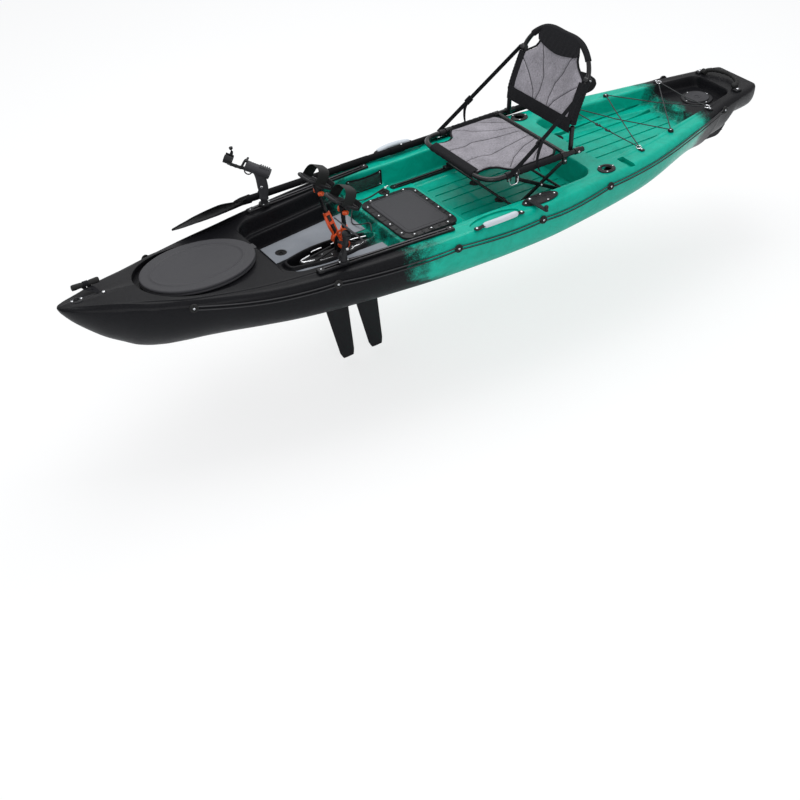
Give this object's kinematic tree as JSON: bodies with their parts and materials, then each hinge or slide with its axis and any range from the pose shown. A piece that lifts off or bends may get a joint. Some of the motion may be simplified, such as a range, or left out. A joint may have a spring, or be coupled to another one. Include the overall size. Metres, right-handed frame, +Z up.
{
  "type": "pedal kayak",
  "caption": "Sit-on-top pedal kayak with framed folding seat, swinging-fin pedal drive, hatches, rudder, rod holder and stowed paddle.",
  "frame": {"origin": "on the flat of the keel at the middle of the boat's length", "axes": "+X towards the stern, +Y to starboard, +Z up"},
  "size_m": [3.34, 0.9186, 1.1762],
  "materials": {
    "hull": "satin green polyethylene, black at bow and stern",
    "deck": "satin green polyethylene, black at bow and stern",
    "black_plastic": "satin black",
    "charcoal_plastic": "satin charcoal",
    "mat_foam": "matt grey foam",
    "black_tube": "black anodised",
    "net": "black net",
    "cord": "black braided cord",
    "grip": "pale grey soft grip",
    "silver": "brushed",
    "orange": "vivid orange",
    "fin_rubber": "black flexible",
    "seat_fabric": "grey woven mesh",
    "webbing": "black webbing",
    "paddle_black": "black"
  },
  "bodies": {
    "kayak": {"hull_shell": "hull", "deck_shell": "deck", "front_hatch_rim": "black_plastic", "day_hatch_frame": "black_plastic", "stern_hatch_rim": "black_plastic", "rod_tube_port": "black_plastic", "rod_tube_starboard": "black_plastic", "steering_plate": "black_plastic", "bow_fitting": "black_plastic", "rod_holder_base": "black_plastic", "finder_post": "black_plastic", "drive_frame": "charcoal_plastic", "foot_mat_port": "mat_foam", "foot_mat_starboard": "mat_foam", "gear_track_port": "black_tube", "gear_track_starboard": "black_tube", "seat_track_port": "black_tube", "seat_track_starboard": "black_tube", "mesh_pocket_port": "net", "mesh_pocket_starboard": "net", "deck_line_port": "cord", "deck_line_starboard": "cord", "bungee_net": "cord", "leash": "cord", "drive_shaft": "silver"},
    "front_lid": {"front_hatch_lid": "charcoal_plastic"},
    "day_lid": {"day_hatch_lid": "charcoal_plastic"},
    "stern_lid": {"stern_hatch_lid": "charcoal_plastic"},
    "handle_port": {"side_handle_port": "grip"},
    "handle_starboard": {"side_handle_starboard": "grip"},
    "bow_toggle": {"bow_handle": "black_plastic"},
    "stern_bar": {"stern_handle": "black_plastic"},
    "rudder": {"rudder_blade": "black_plastic"},
    "lever": {"steering_lever": "black_plastic"},
    "crank_p": {"crank_port": "orange"},
    "crank_s": {"crank_starboard": "orange"},
    "pad_p": {"foot_pad_port": "black_plastic"},
    "pad_s": {"foot_pad_starboard": "black_plastic"},
    "front_fin": {"fin_mast_front": "silver", "fin_front": "fin_rubber"},
    "rear_fin": {"fin_mast_rear": "silver", "fin_rear": "fin_rubber"},
    "seat_slide": {"seat_runner_port": "black_plastic", "seat_runner_starboard": "black_plastic"},
    "leg_front": {"seat_leg_front": "black_tube"},
    "leg_rear": {"seat_leg_rear": "black_tube"},
    "seat": {"seat_base_frame": "black_tube", "seat_pad": "seat_fabric", "side_strap_port": "webbing", "side_strap_starboard": "webbing"},
    "backrest": {"back_frame": "black_tube", "back_pad": "seat_fabric", "head_sleeve": "webbing"},
    "rod_arm": {"rod_holder_body": "charcoal_plastic"},
    "rod_latch": {"rod_holder_latch": "black_plastic"},
    "finder_board": {"finder_plate": "charcoal_plastic"},
    "paddle": {"paddle_shaft": "paddle_black", "paddle_blade_front": "paddle_black", "paddle_blade_rear": "paddle_black"}
  },
  "joints": [
    {"name": "front_lid_lift", "type": "slide", "parent": "kayak", "child": "front_lid", "axis": [0, 0, 1], "range_m": [0, 0.15]},
    {"name": "day_lid_hinge", "type": "hinge", "parent": "kayak", "child": "day_lid", "pos_m": [-0.256, 0, 0.1896], "axis": [0, -1, 0], "range_deg": [0, 85]},
    {"name": "stern_lid_turn", "type": "hinge", "parent": "kayak", "child": "stern_lid", "pos_m": [1.426, 0, 0.2426], "axis": [0, 0, 1], "range_deg": [0, 90]},
    {"name": "handle_port_swing", "type": "hinge", "parent": "kayak", "child": "handle_port", "pos_m": [0.03, -0.385, 0.2626], "axis": [-1, 0, 0], "range_deg": [0, 40]},
    {"name": "handle_starboard_swing", "type": "hinge", "parent": "kayak", "child": "handle_starboard", "pos_m": [0.03, 0.385, 0.2626], "axis": [1, 0, 0], "range_deg": [0, 40]},
    {"name": "bow_toggle_lift", "type": "hinge", "parent": "kayak", "child": "bow_toggle", "pos_m": [-1.4775, 0, 0.3072], "axis": [0, 1, 0], "range_deg": [0, 38]},
    {"name": "stern_bar_lift", "type": "hinge", "parent": "kayak", "child": "stern_bar", "pos_m": [1.56, 0, 0.2984], "axis": [0, -1, 0], "range_deg": [0, 80]},
    {"name": "rudder_turn", "type": "hinge", "parent": "kayak", "child": "rudder", "pos_m": [1.566, 0, 0.13], "axis": [0, 0, 1], "range_deg": [-35, 35]},
    {"name": "lever_turn", "type": "hinge", "parent": "kayak", "child": "lever", "pos_m": [0.213, -0.34, 0.275], "axis": [0, 0, 1], "range_deg": [-39, 39]},
    {"name": "crank_port_swing", "type": "hinge", "parent": "kayak", "child": "crank_p", "pos_m": [-0.482, 0, 0.168], "axis": [0, 1, 0], "range_deg": [-25, 25]},
    {"name": "crank_starboard_swing", "type": "hinge", "parent": "kayak", "child": "crank_s", "pos_m": [-0.482, 0, 0.168], "axis": [0, 1, 0], "range_deg": [-26, 26]},
    {"name": "pad_port_tilt", "type": "hinge", "parent": "crank_p", "child": "pad_p", "pos_m": [-0.52, -0.104, 0.396], "axis": [0, 1, 0], "range_deg": [-26, 26]},
    {"name": "pad_starboard_tilt", "type": "hinge", "parent": "crank_s", "child": "pad_s", "pos_m": [-0.52, 0.104, 0.396], "axis": [0, 1, 0], "range_deg": [-26, 26]},
    {"name": "front_fin_swing", "type": "hinge", "parent": "kayak", "child": "front_fin", "pos_m": [-0.534, 0, 0.022], "axis": [1, 0, 0], "range_deg": [-41, 41]},
    {"name": "rear_fin_swing", "type": "hinge", "parent": "kayak", "child": "rear_fin", "pos_m": [-0.394, 0, 0.022], "axis": [1, 0, 0], "range_deg": [-41, 41]},
    {"name": "seat_slide", "type": "slide", "parent": "kayak", "child": "seat_slide", "axis": [1, 0, 0], "range_m": [-0.1, 0.06]},
    {"name": "seat_leg_fold", "type": "hinge", "parent": "seat_slide", "child": "leg_front", "pos_m": [0.466, 0, 0.19], "axis": [0, -1, 0], "range_deg": [0, 16]},
    {"name": "seat_level", "type": "hinge", "parent": "leg_front", "child": "seat", "pos_m": [0.214, 0, 0.33], "axis": [0, -1, 0], "range_deg": [-17, 0]},
    {"name": "seat_scissor", "type": "hinge", "parent": "leg_front", "child": "leg_rear", "pos_m": [0.34, 0, 0.26], "axis": [0, -1, 0], "range_deg": [-33, 0]},
    {"name": "back_fold", "type": "hinge", "parent": "seat", "child": "backrest", "pos_m": [0.518, 0, 0.352], "axis": [0, -1, 0], "range_deg": [0, 65], "deforming": ["side_strap_port", "side_strap_starboard"]},
    {"name": "rod_arm_swivel", "type": "hinge", "parent": "kayak", "child": "rod_arm", "pos_m": [-0.662, 0.28973, 0.3], "axis": [0, 0, 1], "range_deg": [-60, 60]},
    {"name": "rod_latch_flip", "type": "hinge", "parent": "rod_arm", "child": "rod_latch", "pos_m": [-0.70189, 0.32764, 0.46948], "axis": [0.6889, 0.7248, 0], "range_deg": [0, 60]},
    {"name": "finder_tilt", "type": "hinge", "parent": "kayak", "child": "finder_board", "pos_m": [-0.624, -0.31, 0.397], "axis": [0, 1, 0], "range_deg": [-30, 30]},
    {"name": "paddle_lift", "type": "slide", "parent": "kayak", "child": "paddle", "axis": [0, 0, 1], "range_m": [0, 0.1]}
  ],
  "couplings": [
    {"joint": "lever_turn", "follows": "rudder_turn", "ratio": -1.1},
    {"joint": "crank_starboard_swing", "follows": "crank_port_swing", "ratio": -1},
    {"joint": "pad_port_tilt", "follows": "crank_port_swing", "ratio": -1},
    {"joint": "pad_starboard_tilt", "follows": "crank_port_swing", "ratio": 1},
    {"joint": "front_fin_swing", "follows": "crank_port_swing", "ratio": 1.6},
    {"joint": "rear_fin_swing", "follows": "crank_port_swing", "ratio": -1.6},
    {"joint": "seat_level", "follows": "seat_leg_fold", "ratio": -1},
    {"joint": "seat_scissor", "follows": "seat_leg_fold", "ratio": -2}
  ]
}
